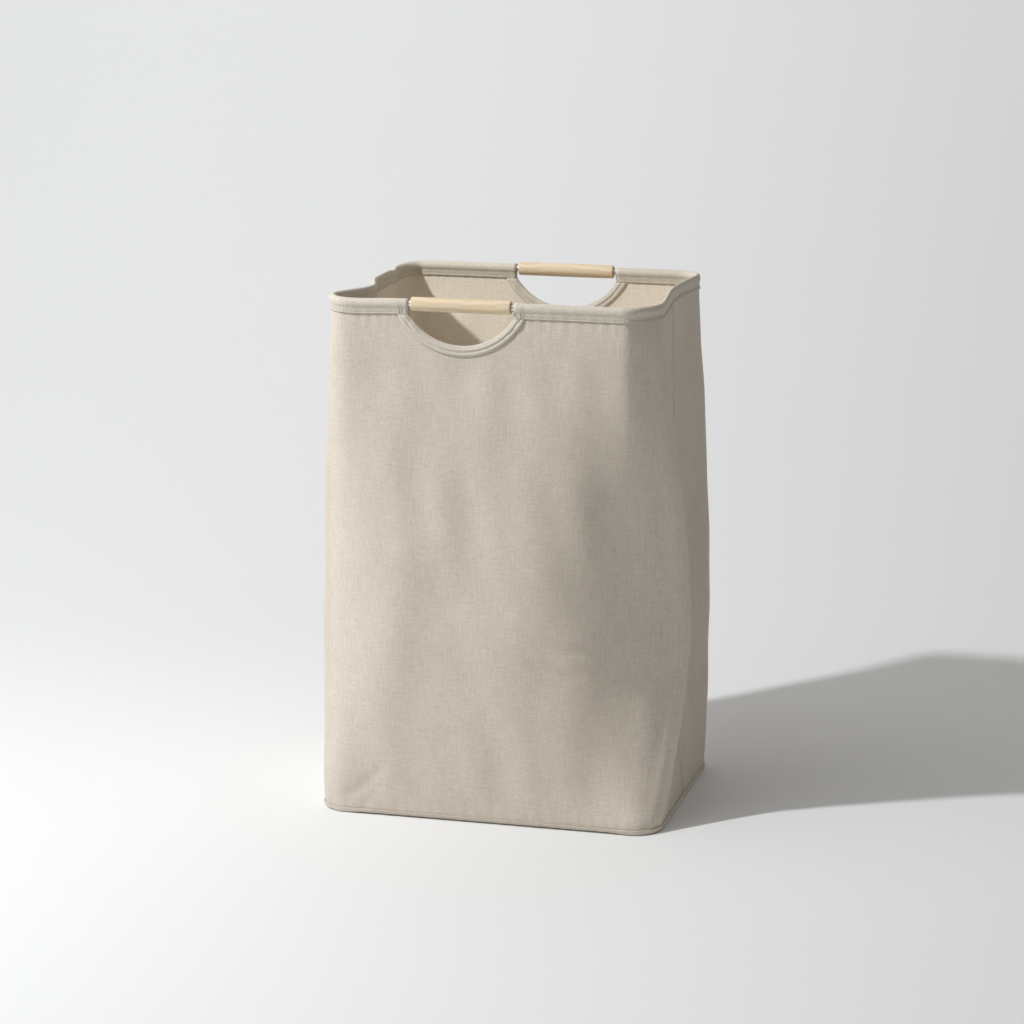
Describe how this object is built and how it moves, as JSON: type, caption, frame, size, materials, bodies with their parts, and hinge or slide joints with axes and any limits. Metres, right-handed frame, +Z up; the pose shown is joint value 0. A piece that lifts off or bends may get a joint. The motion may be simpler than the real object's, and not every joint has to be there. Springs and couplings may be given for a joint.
{
  "type": "cloth laundry hamper",
  "caption": "Tall free-standing linen-look laundry hamper with an open top, bound half-round hand openings and turning wooden grips on rods in its rim.",
  "frame": {"origin": "centre of the base on the floor, in the middle of the object's outline", "axes": "+X along the broad front, to the right seen from the front; -Y is the front; +Z is up"},
  "size_m": [0.4325, 0.311, 0.61],
  "materials": {
    "shell_linen": "plain-weave linen and cotton canvas with slubs, matte",
    "liner_cloth": "thin plain-weave lining, matte, a little yellower than the shell",
    "binding_cloth": "folded linen strip with topstitching, matte",
    "grip_wood": "turned pale beech, sanded, satin",
    "aluminium_tube": "drawn tube, mill finish",
    "plug_plastic": "moulded, fine texture",
    "base_fibreboard": "pressed brown board, matte"
  },
  "bodies": {
    "hamper": {"front_shell": "shell_linen", "back_shell": "shell_linen", "front_liner": "liner_cloth", "back_liner": "liner_cloth", "front_opening_binding": "binding_cloth", "back_opening_binding": "binding_cloth", "front_left_rim_strip": "binding_cloth", "front_right_rim_strip": "binding_cloth", "back_left_rim_strip": "binding_cloth", "back_right_rim_strip": "binding_cloth", "front_rod": "aluminium_tube", "back_rod": "aluminium_tube", "front_rod_left_plug": "plug_plastic", "front_rod_right_plug": "plug_plastic", "back_rod_left_plug": "plug_plastic", "back_rod_right_plug": "plug_plastic", "base_welt": "binding_cloth", "base_cloth": "shell_linen", "base_board": "base_fibreboard", "base_liner": "liner_cloth"},
    "front_grip_body": {"front_grip": "grip_wood"},
    "back_grip_body": {"back_grip": "grip_wood"}
  },
  "joints": [
    {"name": "front_grip_spin", "type": "hinge", "parent": "hamper", "child": "front_grip_body", "pos_m": [-0.028, -0.14408, 0.602], "axis": [1, 0, 0], "continuous": true},
    {"name": "back_grip_spin", "type": "hinge", "parent": "hamper", "child": "back_grip_body", "pos_m": [0.022, 0.14408, 0.602], "axis": [1, 0, 0], "continuous": true}
  ]
}
